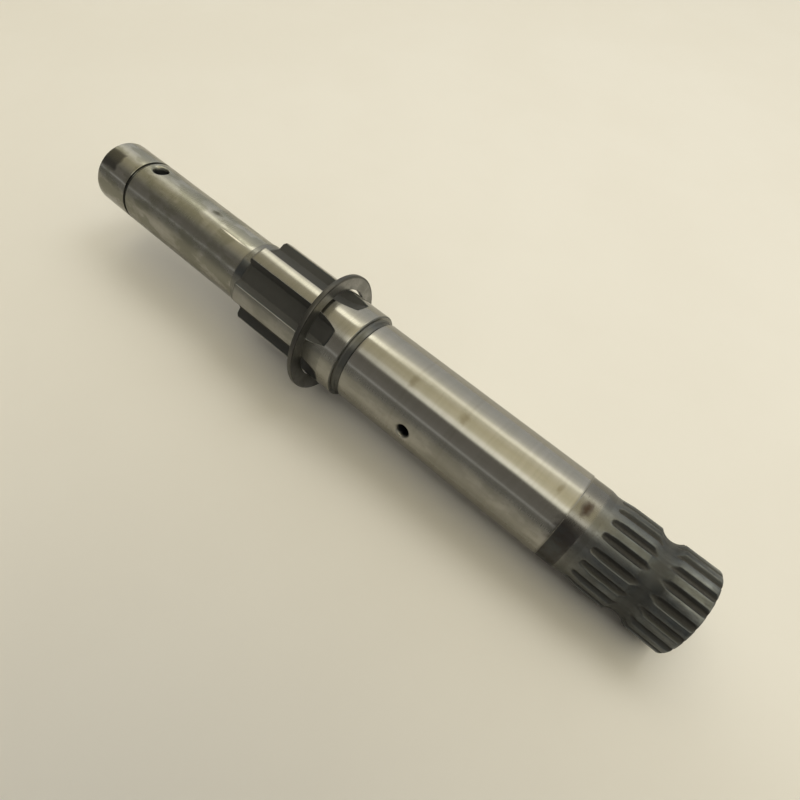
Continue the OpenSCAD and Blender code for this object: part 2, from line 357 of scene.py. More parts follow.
# Stations of the gallery come first in the profile, and those of the lathe centre come last
bore_stations = int(np.argmax(shaft_r > GALLERY_MOUTH_R + 0.5))
centre_stations = int(np.argmax(shaft_r[::-1] > CENTRE_R - 0.4))
station_x = shaft_x[:, None]
angles = line_angles(shaft_x)
turn = np.radians(angles)
slot_pitch = 360.0 / TOOTH_COUNT
groove_pitch = 360.0 / SERRATION_COUNT
slot_turn = np.radians((angles - FIRST_SLOT_ANGLE + slot_pitch / 2) % slot_pitch - slot_pitch / 2)
groove_turn = np.radians((angles - FIRST_GROOVE_ANGLE + groove_pitch / 2) % groove_pitch - groove_pitch / 2)
turned = np.broadcast_to(shaft_r[:, None], angles.shape)
outside = np.ones(len(shaft_x), dtype=bool)
outside[:bore_stations] = False
outside[len(shaft_x) - centre_stations:] = False
slot_r = np.where(outside[:, None], slot_surface(station_x, slot_turn), NO_CUT)
groove_r = groove_surface(station_x, groove_turn)
groove_r = np.where(shaft_r[:, None] < GROOVE_FLOOR_R - 0.4, NO_CUT, groove_r)
cut_r = soft_min(soft_min(turned, slot_r, 0.14), groove_r, 0.1)
shaft_points = np.stack([
    np.broadcast_to(station_x, angles.shape),
    cut_r * np.sin(turn),
    cut_r * np.cos(turn),
], axis=2)

# How each place was finished: 1 ground bright, 0 left black from hardening
finish_rows = np.interp(
    shaft_x,
    [X_SHOULDER - 0.3, X_SHOULDER - 0.2, X_JOURNAL_IN - 0.1, X_JOURNAL_IN, X_JOURNAL_OUT + 0.1,
     X_JOURNAL_OUT + 0.2, X_BAND - 0.3, X_BAND + 0.2, X_NECK, X_SERRATION + 0.5, X_SERRATION + 3.0],
    [1.0, 0.25, 0.25, 1.0, 1.0, 0.93, 0.82, 0.5, 0.45, 0.35, 0.08],
)
in_groove = (np.abs(shaft_x - X_RING_GROOVE) < RING_GROOVE_HALF + 0.01) & (shaft_r < SPINDLE_R - 0.03)
finish_rows = np.where(in_groove, 0.5, finish_rows)
on_shoulder_face = (np.abs(shaft_x - X_SHOULDER) < 0.02) & (shaft_r < SPLINE_R - SHOULDER_CHAMFER)
finish_rows = np.where(on_shoulder_face, 0.6, finish_rows)
finish_rows = np.where(np.abs(shaft_x - X_TEETH) < 0.01, 0.15, finish_rows)
finish_rows = np.where(outside, finish_rows, 0.35)
finish_rows = np.where((shaft_x < X_INNER + 0.05) & outside, 0.6, finish_rows)
ground = np.broadcast_to(finish_rows[:, None], angles.shape).copy()
ground = np.where(slot_r < turned - 0.02, 0.0, ground)
on_collar = (shaft_x > X_COLLAR + 0.1) & (shaft_x < X_TEETH + 0.01) & (shaft_r < COLLAR_R + 0.01) & outside
ground = np.where(on_collar[:, None], 0.6, ground)


def angle_lobe(middle, full, none):
    """Share from 1 within the angle full of the middle to 0 beyond the angle none, all in degrees."""
    gap = np.abs((angles - middle + 180.0) % 360.0 - 180.0)
    return smooth_step(none, full, gap)


# Colour by side: the band is bright only on its upper side, the collar is dirty in line with the near slot,
# and the lower teeth are mixed toward the black skin on their near lower side, a painted shade.
on_band_rows = (shaft_x > X_JOURNAL_OUT + 0.15) & (shaft_x < X_BAND - 0.2) & outside
ground = np.where(on_band_rows[:, None], ground * (0.08 + 0.92 * angle_lobe(30.0, 55.0, 72.0)), ground)
on_spline_rows = (shaft_x > X_TEETH - 0.05) & (shaft_x < X_RUNOUT) & outside
ground = np.where(on_collar[:, None], ground * (1.0 - 0.8 * angle_lobe(-36.0, 10.0, 17.0)), ground)
# Painted shade: the lower teeth are darkened toward the black skin on their near lower side
ground = np.where(on_spline_rows[:, None], ground * (1.0 - 0.2 * angle_lobe(-80.0, 20.0, 34.0)), ground)

# Bare edges: tooth edges of the spline and of the serration, where the black skin has rubbed off
edge_gap = np.minimum(np.abs(turned - slot_r), np.abs(turned - groove_r))
bare_edge = np.exp(-(edge_gap / 0.2) ** 2) * outside[:, None]
groove_depth = SERRATION_R - GROOVE_FLOOR_R
groove_top = np.where(groove_r < NO_CUT, np.clip((groove_r - GROOVE_FLOOR_R) / groove_depth, 0.0, 1.0), 0.0)
tooth_top = groove_top ** 3 * outside[:, None]
band_edge = np.exp(-((shaft_x - X_BAND) / 0.35) ** 2) * outside
bare_edge = np.maximum(bare_edge, band_edge[:, None])

# Old oil lies in the corners at the collar's two ends and beside the snap ring groove
grime_rows = 0.7 * np.exp(-((shaft_x - X_COLLAR) / 0.14) ** 2) * (shaft_r > SPINDLE_R - 0.01)
grime_rows = np.maximum(grime_rows, np.exp(-((shaft_x - X_TEETH) / 0.3) ** 2) * (shaft_r < COLLAR_R + 0.6))
grime_rows = np.maximum(grime_rows, in_groove * 0.2)
front_edge = np.exp(-((shaft_x - X_TEETH - TOOTH_CHAMFER) / 0.3) ** 2) * (shaft_r > SPLINE_R - TOOTH_CHAMFER)
grime_rows = np.maximum(grime_rows, front_edge * 0.5)
grime = np.broadcast_to((grime_rows * outside)[:, None], angles.shape)

# Dirt packed in the serration's grooves up to near the tooth tops, in the pinch groove and in the slots
dirt = (groove_r < turned - 0.03) * np.clip(1.5 - 1.5 * groove_top, 0.0, 1.0)
pinch_dirt = 0.6 * np.exp(-((shaft_x - X_PINCH) / 2.0) ** 2)
dirt = np.maximum(dirt, pinch_dirt[:, None])
dirt = np.maximum(dirt, 0.85 * (slot_r < turned - 0.3)) * outside[:, None]


def drill(points, x_hole, angle, surface_r, hole_r, depth):
    """Moves a square block of the grid into a drilled hole, and gives the mask of the moved points.

    The block's square rings become circles: a point at the part q of the way along its side takes the
    angle q * 45 degrees from the side's middle. Rings inside the rim go down the countersink and the wall
    and close on a flat bottom. Rings outside the rim pass over, ring by ring, into the straight grid.
    """
    row = int(np.argmin(np.where(outside, np.abs(shaft_x - x_hole), NO_CUT)))
    column = int(np.argmin(np.abs((angles[row] - angle + 180.0) % 360.0 - 180.0)))
    span = np.arange(-HOLE_WINDOW, HOLE_WINDOW + 1)
    p, q = np.meshgrid(span, span, indexing="ij")
    rows = row + p
    columns = (column + q) % LINES
    ring = np.maximum(np.abs(p), np.abs(q))
    safe = np.maximum(ring, 1)
    quarter = math.pi / 4
    along_x = np.abs(p) >= np.abs(q)
    bearing = np.where(
        along_x,
        np.where(p >= 0, quarter * q / safe, math.pi - quarter * q / safe),
        np.where(q >= 0, math.pi / 2 - quarter * p / safe, -math.pi / 2 + quarter * p / safe),
    )
    old = points[rows, columns]
    swing = math.radians(angle)
    old_a = old[..., 0] - x_hole
    old_t = old[..., 1] * math.cos(swing) - old[..., 2] * math.sin(swing)
    flare = hole_r + COUNTERSINK - (surface_r - np.sqrt(surface_r ** 2 - (hole_r * np.sin(bearing)) ** 2))
    rings = np.arange(HOLE_WINDOW + 1)
    wall_top = HOLE_RINGS - 1
    wall_share = np.clip((wall_top - rings) / (wall_top - HOLE_BOTTOM_RINGS), 0.0, 1.0)
    spread_rings = [0, HOLE_BOTTOM_RINGS - 1, HOLE_BOTTOM_RINGS, wall_top]
    spread = np.interp(ring, spread_rings, [0.0, 0.92, 1.0, 1.0]) * hole_r
    down = np.interp(ring, rings, surface_r - COUNTERSINK - (depth - COUNTERSINK) * wall_share)
    outer = (ring - HOLE_RINGS) / (HOLE_WINDOW - HOLE_RINGS)
    blend = np.clip(outer, 0.0, 1.0) ** 1.5
    skirt = flare + 0.05 * np.clip(ring - HOLE_RINGS, 0, 1) + 1.1 * np.clip(outer, 0.0, 1.0)
    on_skirt = ring >= HOLE_RINGS
    circle = np.where(on_skirt, skirt, spread)
    round_a = circle * np.cos(bearing)
    round_t = circle * np.sin(bearing)
    a = np.where(on_skirt, (1 - blend) * round_a + blend * old_a, round_a)
    t = np.where(on_skirt, (1 - blend) * round_t + blend * old_t, round_t)
    height = np.where(on_skirt, np.sqrt(surface_r ** 2 - t ** 2), down)
    points[rows, columns] = np.stack([
        x_hole + a,
        height * math.sin(swing) + t * math.cos(swing),
        height * math.cos(swing) - t * math.sin(swing),
    ], axis=2)
    inside = np.zeros(angles.shape, dtype=float)
    inside[rows, columns] = np.clip(wall_top - ring, 0.0, 1.0)
    return inside


spring_hole = drill(shaft_points, X_SPRING_HOLE, SPRING_HOLE_ANGLE, SPINDLE_R, SPRING_HOLE_R,
                    SPRING_HOLE_DEPTH)
oil_hole = drill(shaft_points, X_OIL_HOLE, OIL_HOLE_ANGLE, JOURNAL_R, OIL_HOLE_R, OIL_HOLE_DEPTH)
ground = ground * (1.0 - np.maximum(spring_hole, oil_hole))


def ring_faces(rows, lines):
    """Quads between neighbouring rows and lines of a grid that closes round its lines."""
    row, line = np.meshgrid(np.arange(rows - 1), np.arange(lines), indexing="ij")
    after = (line + 1) % lines
    here = row * lines
    below = here + lines
    quads = np.stack([here + line, here + after, below + after, below + line], axis=2)
    return quads.reshape(-1, 4)


def new_piece(name, points, faces, **masks):
    """A smooth mesh object in metres from points in millimetres and quads, with a float mask for each name.
    Points that lie on one another, as at a pole or a cut face's foot, are merged into one."""
    mesh = bpy.data.meshes.new(name)
    flat = points.reshape(-1, 3) * MM
    mesh.from_pydata(flat.tolist(), [], faces.tolist())
    for mask, values in masks.items():
        layer = mesh.attributes.new(mask, "FLOAT", "POINT")
        layer.data.foreach_set("value", np.ascontiguousarray(values, dtype=np.float32).ravel())
    work = bmesh.new()
    work.from_mesh(mesh)
    bmesh.ops.remove_doubles(work, verts=work.verts, dist=0.000004)
    bmesh.ops.dissolve_degenerate(work, edges=work.edges, dist=0.000002)
    bmesh.ops.recalc_face_normals(work, faces=work.faces)
    work.to_mesh(mesh)
    work.free()
    mesh.shade_smooth()
    piece = bpy.data.objects.new(name, mesh)
    bpy.context.scene.collection.objects.link(piece)
    return piece


shaft = new_piece("shaft_body", shaft_points, ring_faces(len(shaft_x), LINES),
                  ground=ground, bare_edge=bare_edge, tooth_top=tooth_top, grime=grime,
                  dirt=dirt)
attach(shaft, "root")
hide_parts("kick_shaft")


# Kick shaft, its steel. The bearing surfaces and tooth tops are ground bright after hardening, and the slots,
# the neck and the serration keep the dark skin. Old oil has stained the spindle, the bushes have left rub
# marks on the journal, and the band beside the neck has begun to rust.
BRIGHT_STEEL = (0.37, 0.361, 0.337, 1.0)
OIL_VARNISH = (0.205, 0.205, 0.152, 1.0)
OIL_PATCH = (0.215, 0.214, 0.165, 1.0)
# Paler steel of the painted light on the spindle's upper side
LIT_SIDE_STEEL = (0.5, 0.495, 0.455, 1.0)
SCORCH_BROWN = (0.06, 0.05, 0.046, 1.0)
# Grey of the random streaks, and of the painted shade on the lower side
STREAK_AND_SHADE_GREY = (0.185, 0.184, 0.165, 1.0)
RUB_BROWN = (0.15, 0.125, 0.08, 1.0)
# Grey of the band's stain, and of a painted dark reflection near the spindle's end
STAIN_AND_REFLECTION_GREY = (0.09, 0.087, 0.08, 1.0)
PIT_GREY = (0.05, 0.047, 0.042, 1.0)
# Near-white of a painted highlight
GLINT_WHITE = (0.92, 0.9, 0.85, 1.0)
RUST_BROWN = (0.062, 0.04, 0.025, 1.0)
BLACK_STEEL = (0.073, 0.083, 0.09, 1.0)
BROWN_SKIN = (0.08, 0.084, 0.084, 1.0)
BARE_STEEL = (0.255, 0.27, 0.268, 1.0)
OIL_GRIME = (0.02, 0.018, 0.014, 1.0)
GROOVE_DIRT = (0.055, 0.053, 0.049, 1.0)
GRAZING_TINT = (0.72, 0.72, 0.72, 1.0)


def put(tree, kind, wires=None, **options):
    """Adds a shader node with its options, and fills its inputs from numbers or from other nodes' sockets."""
    node = tree.nodes.new(kind)
    for option, value in options.items():
        setattr(node, option, value)
    for name, value in (wires or {}).items():
        if isinstance(value, bpy.types.NodeSocket):
            tree.links.new(value, node.inputs[name])
        else:
            node.inputs[name].default_value = value
    return node


def calc(tree, operation, a, b=0.0):
    """Socket of a Math node on a and b."""
    return put(tree, "ShaderNodeMath", {0: a, 1: b}, operation=operation).outputs["Value"]


def fade(tree, value, low, high, to_low=0.0, to_high=1.0):
    """Socket that follows value smoothly from to_low at low to to_high at high, and stays level outside."""
    wires = {"Value": value, "From Min": low, "From Max": high, "To Min": to_low, "To Max": to_high}
    return put(tree, "ShaderNodeMapRange", wires, interpolation_type="SMOOTHSTEP").outputs["Result"]


def blend_colour(tree, share, a, b, mode="MIX"):
    """Socket of the colour a passing over to b by the share."""
    wires = {"Factor": share, "A": a, "B": b}
    return put(tree, "ShaderNodeMix", wires, data_type="RGBA", blend_type=mode).outputs["Result"]


def blend_value(tree, share, a, b):
    """Socket of the number a passing over to b by the share."""
    return put(tree, "ShaderNodeMix", {"Factor": share, "A": a, "B": b}, data_type="FLOAT").outputs["Result"]


def new_group(name, inputs, outputs):
    """An empty shader node group with named sockets: its tree, its input node and its output node."""
    tree = bpy.data.node_groups.new(name, "ShaderNodeTree")
    for socket, kind in inputs:
        tree.interface.new_socket(socket, in_out="INPUT", socket_type=kind)
    for socket in outputs:
        tree.interface.new_socket(socket, in_out="OUTPUT", socket_type="NodeSocketFloat")
    return tree, tree.nodes.new("NodeGroupInput"), tree.nodes.new("NodeGroupOutput")


# Clouds and specks of oil, heat and rust on steel, at a size in the vector's own unit
mottle_group, given, given_back = new_group(
    "steel_mottle", [("Vector", "NodeSocketVector"), ("Size", "NodeSocketFloat")], ["Cloud", "Speck"])
pace = calc(mottle_group, "DIVIDE", 1.0, given.outputs["Size"])
cloud = put(mottle_group, "ShaderNodeTexNoise",
            {"Vector": given.outputs["Vector"], "Scale": pace, "Detail": 5.0, "Roughness": 0.58})
speck_pace = calc(mottle_group, "MULTIPLY", pace, 7.0)
speck = put(mottle_group, "ShaderNodeTexNoise",
            {"Vector": given.outputs["Vector"], "Scale": speck_pace, "Detail": 2.0})
mottle_group.links.new(fade(mottle_group, cloud.outputs["Fac"], 0.33, 0.67), given_back.inputs["Cloud"])
mottle_group.links.new(fade(mottle_group, speck.outputs["Fac"], 0.58, 0.7), given_back.inputs["Speck"])

# Fine uneven lines left by a turning tool or a grinding wheel, across the given distance
lines_group, given, given_back = new_group(
    "tool_lines",
    [("Across", "NodeSocketFloat"), ("Vector", "NodeSocketVector"), ("Pitch", "NodeSocketFloat")],
    ["Lines"])
waver = put(lines_group, "ShaderNodeTexNoise",
            {"Vector": given.outputs["Vector"], "Scale": 0.09, "Detail": 1.0})
counted = calc(lines_group, "DIVIDE", given.outputs["Across"], given.outputs["Pitch"])
waved = calc(lines_group, "ADD", counted, waver.outputs["Fac"])
line_noise = put(lines_group, "ShaderNodeTexNoise",
                 {"W": waved, "Scale": 1.0, "Detail": 3.0, "Roughness": 0.6}, noise_dimensions="1D")
lines_group.links.new(line_noise.outputs["Fac"], given_back.inputs["Lines"])

# One stain or mark: an oval about a centre, with its edge moved in and out by noise
patch_group, given, given_back = new_group(
    "soft_patch",
    [("Vector", "NodeSocketVector"), ("Centre", "NodeSocketVector"), ("Reach", "NodeSocketVector"),
     ("Ragged", "NodeSocketFloat"), ("Core", "NodeSocketFloat")],
    ["Mask"])
offset = put(patch_group, "ShaderNodeVectorMath", {0: given.outputs["Vector"], 1: given.outputs["Centre"]},
             operation="SUBTRACT")
share = put(patch_group, "ShaderNodeVectorMath", {0: offset.outputs["Vector"], 1: given.outputs["Reach"]},
            operation="DIVIDE")
far = put(patch_group, "ShaderNodeVectorMath", {0: share.outputs["Vector"]}, operation="LENGTH")
ragged = put(patch_group, "ShaderNodeTexNoise",
             {"Vector": given.outputs["Vector"], "Scale": 0.9, "Detail": 4.0})
moved = calc(patch_group, "MULTIPLY", calc(patch_group, "SUBTRACT", ragged.outputs["Fac"], 0.5),
             given.outputs["Ragged"])
patch_group.links.new(
    fade(patch_group, calc(patch_group, "ADD", far.outputs["Value"], moved), 1.2, given.outputs["Core"]),
    given_back.inputs["Mask"])


def group_node(tree, group, **wires):
    """Places a node group in a material, with its inputs filled by name."""
    return put(tree, "ShaderNodeGroup", wires, node_tree=group)


def new_material(name):
    """An empty node material: its tree, its shader and its object coordinates in millimetres."""
    material = bpy.data.materials.new(name)
    material.use_nodes = True
    tree = material.node_tree
    place = put(tree, "ShaderNodeTexCoord")
    scaled = put(tree, "ShaderNodeVectorMath", {0: place.outputs["Object"], 1: (1000.0, 1000.0, 1000.0)},
                 operation="MULTIPLY")
    return material, tree, tree.nodes["Principled BSDF"], scaled.outputs["Vector"]


def mask(tree, name):
    """Socket of a mesh mask by its name."""
    return put(tree, "ShaderNodeAttribute", attribute_name=name).outputs["Fac"]


shaft_steel, tree, shader, mm_vector = new_material("ground_and_black_steel")
parts = put(tree, "ShaderNodeSeparateXYZ", {"Vector": mm_vector}).outputs
along = parts["X"]
arc = calc(tree, "MULTIPLY", calc(tree, "ARCTAN2", parts["Y"], parts["Z"]), JOURNAL_R)
unrolled = put(tree, "ShaderNodeCombineXYZ", {"X": along, "Y": arc}).outputs["Vector"]


def drawn_out(share):
    """Socket of the place on the shaft, with lengths along the axis shortened to the share of themselves, so
    that a pattern on it comes out drawn along the axis."""
    wires = {0: mm_vector, 1: (share, 1.0, 1.0)}
    return put(tree, "ShaderNodeVectorMath", wires, operation="MULTIPLY").outputs["Vector"]


def arc_at(angle):
    """Distance round the journal's surface from its top to an angle in degrees."""
    return math.radians(angle) * JOURNAL_R


grinding = group_node(tree, lines_group, Across=along, Vector=mm_vector, Pitch=0.3).outputs["Lines"]
passes = group_node(tree, lines_group, Across=along, Vector=mm_vector, Pitch=2.4).outputs["Lines"]
stain = group_node(tree, mottle_group, Vector=drawn_out(0.28), Size=3.2)
streaks = group_node(tree, mottle_group, Vector=drawn_out(0.07), Size=2.4)
skin = group_node(tree, mottle_group, Vector=mm_vector, Size=2.2)
patches = group_node(tree, mottle_group, Vector=drawn_out(0.5), Size=4.5)
ground_mask = mask(tree, "ground")
on_spindle = fade(tree, along, X_COLLAR + 0.5, X_COLLAR - 0.5)
on_band = fade(tree, along, X_JOURNAL_OUT - 0.6, X_JOURNAL_OUT + 0.2)


def mark(x, angle, half_length, half_arc, ragged, core):
    """Mask of a mark on the unrolled shaft: its centre by station and angle, its half sizes in mm, how
    ragged its edge is, and the share of its reach where it is full."""
    centre = (x, arc_at(angle), 0.0)
    reach = (half_length, half_arc, 1.0)
    oval = group_node(tree, patch_group, Vector=unrolled, Centre=centre, Reach=reach, Ragged=ragged,
                      Core=core)
    return oval.outputs["Mask"]


def ring_mark(x, half_length):
    """Mask of a thin mark that runs right round the shaft at a station."""
    beside = calc(tree, "ABSOLUTE", calc(tree, "SUBTRACT", along, x))
    return fade(tree, beside, half_length, half_length * 0.3)


def block_mark(x, angle, half_length, half_arc):
    """Mask of a four-sided mark on the unrolled shaft, with an edge that wavers a little."""
    beside = calc(tree, "ABSOLUTE", calc(tree, "SUBTRACT", along, x))
    round_it = calc(tree, "ABSOLUTE", calc(tree, "SUBTRACT", arc, arc_at(angle)))
    beside = calc(tree, "DIVIDE", beside, half_length)
    far = calc(tree, "MAXIMUM", beside, calc(tree, "DIVIDE", round_it, half_arc))
    far = calc(tree, "ADD", far, calc(tree, "MULTIPLY", stain.outputs["Cloud"], 0.3))
    return fade(tree, far, 1.25, 0.9)


# Rub marks of the bushes: station, angle, half length, half arc, and half the width of the faint ring that
# runs right round the shaft at each of them
RUB_PLACES = [(-13.85, -15.0, 1.3, 2.1, 0.6), (0.65, -12.8, 1.3, 1.9, 0.5), (25.5, -9.0, 0.8, 1.8, 0.5)]
rub = 0.0
for x, angle, half_length, half_arc, ring_half in RUB_PLACES:
    patch = calc(tree, "MULTIPLY", mark(x, angle, half_length, half_arc, 1.2, 0.1), 0.45)
    faint_ring = calc(tree, "MULTIPLY", ring_mark(x, ring_half), 0.07)
    rub = calc(tree, "MAXIMUM", rub, calc(tree, "MAXIMUM", patch, faint_ring))
# Painted reflection: a dark four-sided block near the spindle's end stands in for a reflected dark object
end_dark_reflection = calc(tree, "MULTIPLY", block_mark(X_INNER + 2.9, -21.5, 3.3, 3.6), 0.85)
pit = calc(tree, "MULTIPLY", mark(-87.2, 14.6, 2.1, 1.2, 1.0, 0.1), 0.7)
# Painted highlight: a thin near-white line on the spindle stands in for the lamp's reflection in a polished
# spot
lamp_glint_line = mark(-77.0, -4.5, 4.6, 0.32, 0.5, 0.4)
on_end = fade(tree, along, X_RING_GROOVE + 0.3, X_RING_GROOVE - 0.3)
rust = mark(32.0, -8.5, 1.4, 2.2, 0.8, 0.15)
blotch = mark(30.4, -47.0, 2.8, 4.4, 1.3, 0.1)
rust_specks = calc(tree, "MULTIPLY", calc(tree, "MULTIPLY", on_band, skin.outputs["Speck"]), 0.2)
rust = calc(tree, "MAXIMUM", rust, rust_specks)

toward_collar = fade(tree, along, X_COLLAR - 18.0, X_COLLAR - 5.0, 0.42, 0.12)
stained = blend_value(tree, on_spindle, 0.12, toward_collar)
varnish = calc(tree, "MULTIPLY", stain.outputs["Cloud"], stained)
varnish = calc(tree, "MULTIPLY", varnish, blend_value(tree, on_end, 1.0, 0.45))
# Painted light: the spindle is painted paler on its upper side, fading out toward the near lower side
upper_side_light = calc(tree, "MULTIPLY", on_spindle, fade(tree, arc, arc_at(-45.0), arc_at(-5.0), 0.0, 0.85))
bright = blend_colour(tree, upper_side_light, BRIGHT_STEEL, LIT_SIDE_STEEL)
bright = blend_colour(tree, varnish, bright, OIL_VARNISH)
wiped_share = calc(tree, "MULTIPLY", streaks.outputs["Cloud"], blend_value(tree, on_spindle, 0.1, 0.2))
bright = blend_colour(tree, wiped_share, bright, STREAK_AND_SHADE_GREY)
oil_patch = fade(tree, patches.outputs["Cloud"], 0.3, 0.75, 0.0, 0.55)
oil_patch = calc(tree, "MULTIPLY", oil_patch, on_spindle)
bright = blend_colour(tree, oil_patch, bright, OIL_PATCH)
low_side = calc(tree, "MULTIPLY", fade(tree, arc, arc_at(-46.0), arc_at(-59.0)),
                fade(tree, arc, arc_at(-102.0), arc_at(-78.0)))
# Painted shade: the bright steel is darkened in patches on its near lower side
low_side_shade = calc(tree, "MULTIPLY", low_side, fade(tree, patches.outputs["Cloud"], 0.1, 0.8, 0.0, 0.4))
bright = blend_colour(tree, low_side_shade, bright, STREAK_AND_SHADE_GREY)
bright = blend_colour(tree, fade(tree, passes, 0.35, 0.65, 0.0, 0.12), bright, OIL_VARNISH)
bright = blend_colour(tree, rub, bright, RUB_BROWN)
bright = blend_colour(tree, end_dark_reflection, bright, STAIN_AND_REFLECTION_GREY)
bright = blend_colour(tree, pit, bright, PIT_GREY)
bright = blend_colour(tree, lamp_glint_line, bright, GLINT_WHITE)
bright = blend_colour(tree, calc(tree, "MULTIPLY", on_band, 0.5), bright, STAIN_AND_REFLECTION_GREY)
bright = blend_colour(tree, calc(tree, "MULTIPLY", blotch, 0.6), bright, PIT_GREY)
black = blend_colour(tree, skin.outputs["Cloud"], BLACK_STEEL, BROWN_SKIN)
scorched = calc(tree, "MULTIPLY", on_band, fade(tree, along, X_BAND + 0.2, X_BAND - 0.3, 0.0, 0.75))
scorched = calc(tree, "MULTIPLY", scorched, fade(tree, patches.outputs["Cloud"], 0.1, 0.7, 0.4, 1.0))
black = blend_colour(tree, scorched, black, SCORCH_BROWN)
worn_end = fade(tree, along, X_PINCH + 2.0, X_OUTER - 1.0, 0.32, 0.95)
worn_top = calc(tree, "MULTIPLY", mask(tree, "tooth_top"), worn_end)
worn_top = calc(tree, "MULTIPLY", worn_top, stain.outputs["Cloud"])
worn_edge = fade(tree, skin.outputs["Cloud"], 0.2, 0.9, 0.05, 0.35)
worn_edge = calc(tree, "MULTIPLY", worn_edge, mask(tree, "bare_edge"))
black = blend_colour(tree, calc(tree, "MAXIMUM", worn_top, worn_edge), black, BARE_STEEL)
steel = blend_colour(tree, ground_mask, black, bright)
steel = blend_colour(tree, rust, steel, RUST_BROWN)
grime_mask = mask(tree, "grime")
steel = blend_colour(tree, grime_mask, steel, OIL_GRIME)
dirt_mask = fade(tree, skin.outputs["Cloud"], 0.0, 1.0, 1.0, 0.8)
dirt_mask = calc(tree, "MULTIPLY", dirt_mask, mask(tree, "dirt"))
steel = blend_colour(tree, dirt_mask, steel, GROOVE_DIRT)
tree.links.new(steel, shader.inputs["Base Color"])

bright_rough = fade(tree, grinding, 0.3, 0.7, 0.13, 0.19)
dull_layers = [(varnish, 0.16), (end_dark_reflection, 0.06), (oil_patch, 0.12), (low_side, 0.16), (on_end, -0.05)]
for layer, duller in dull_layers:
    bright_rough = calc(tree, "ADD", bright_rough, calc(tree, "MULTIPLY", layer, duller))
black_rough = fade(tree, skin.outputs["Cloud"], 0.0, 1.0, 0.4, 0.55)
rough = blend_value(tree, ground_mask, black_rough, bright_rough)
matte = calc(tree, "MAXIMUM", calc(tree, "MAXIMUM", rust, pit), dirt_mask)
rough = blend_value(tree, matte, rough, 0.75)
tree.links.new(rough, shader.inputs["Roughness"])
covered = calc(tree, "MAXIMUM", calc(tree, "MAXIMUM", rust, grime_mask), dirt_mask)
tree.links.new(fade(tree, covered, 0.2, 0.9, 1.0, 0.15), shader.inputs["Metallic"])
shader.inputs["Specular Tint"].default_value = GRAZING_TINT
shader.inputs["Anisotropic"].default_value = 0.7
shader.inputs["Anisotropic Rotation"].default_value = 0.25
tangent = put(tree, "ShaderNodeTangent", direction_type="RADIAL", axis="X")
tree.links.new(tangent.outputs["Tangent"], shader.inputs["Tangent"])
grain = blend_value(tree, ground_mask, calc(tree, "MULTIPLY", skin.outputs["Cloud"], 2.0),
                    calc(tree, "MULTIPLY", grinding, 0.25))
grain = calc(tree, "SUBTRACT", grain, calc(tree, "MULTIPLY", pit, 6.0))
bump = put(tree, "ShaderNodeBump", {"Height": grain, "Strength": 0.25, "Distance": 0.00003})
tree.links.new(bump.outputs["Normal"], shader.inputs["Normal"])
shaft.data.materials.append(shaft_steel)


# Thrust washer. A flat ring stamped from spring steel and hardened, dark all over, with its edges rubbed
# lighter. It has no fixing: it hangs loose on the spline, leaning with the table and turned a little.
WASHER_OUTER_R = 16.2
WASHER_BORE_R = 12.5
WASHER_HALF = 0.6
WASHER_EDGE = 0.2
WASHER_YAW = math.radians(4.5)
X_WASHER = X_RUNOUT - 6.2
WASHER_LIFT = 0.25
WASHER_LINES = 192
WASHER_STEEL = (0.25, 0.249, 0.24, 1.0)
WASHER_DARK = (0.19, 0.189, 0.181, 1.0)
RIM_DARK = (0.085, 0.084, 0.08, 1.0)

section = soft_path([
    (-WASHER_HALF, (WASHER_OUTER_R + WASHER_BORE_R) / 2, 0.0, 3),
    (-WASHER_HALF, WASHER_OUTER_R, WASHER_EDGE, 2),
    (WASHER_HALF, WASHER_OUTER_R, WASHER_EDGE, 6),
    (WASHER_HALF, WASHER_BORE_R, WASHER_EDGE, 2),
    (-WASHER_HALF, WASHER_BORE_R, WASHER_EDGE, 3),
    (-WASHER_HALF, (WASHER_OUTER_R + WASHER_BORE_R) / 2, 0.0, 1),
])
section_a = section[:, 0][:, None]
section_r = section[:, 1][:, None]
washer_turn = np.linspace(0.0, 2 * math.pi, WASHER_LINES, endpoint=False)[None, :]
flat = np.stack([
    np.broadcast_to(section_a, (len(section), WASHER_LINES)),
    section_r * np.sin(washer_turn),
    section_r * np.cos(washer_turn),
], axis=2)
tooth_foot = -SERRATION_R * math.cos(math.pi / SERRATION_COUNT)
slope = math.atan((WASHER_OUTER_R - WASHER_LIFT + tooth_foot) / (X_OUTER - END_CHAMFER - X_WASHER))
lean = np.array([[math.cos(slope), 0, -math.sin(slope)], [0, 1, 0], [math.sin(slope), 0, math.cos(slope)]])
yaw = np.array([[math.cos(WASHER_YAW), -math.sin(WASHER_YAW), 0],
                [math.sin(WASHER_YAW), math.cos(WASHER_YAW), 0], [0, 0, 1]])
washer_points = flat @ (yaw @ lean).T + np.array([X_WASHER, 0.0, WASHER_LIFT])
edge_distance = np.minimum(WASHER_OUTER_R - section_r, section_r - WASHER_BORE_R)
rubbed = np.broadcast_to(np.exp(-((edge_distance - 0.08) / 0.16) ** 2), flat.shape[:2])
washer = new_piece("washer_ring", washer_points, ring_faces(len(section), WASHER_LINES), bare_edge=rubbed)
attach(washer, "root")
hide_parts("thrust_washer")

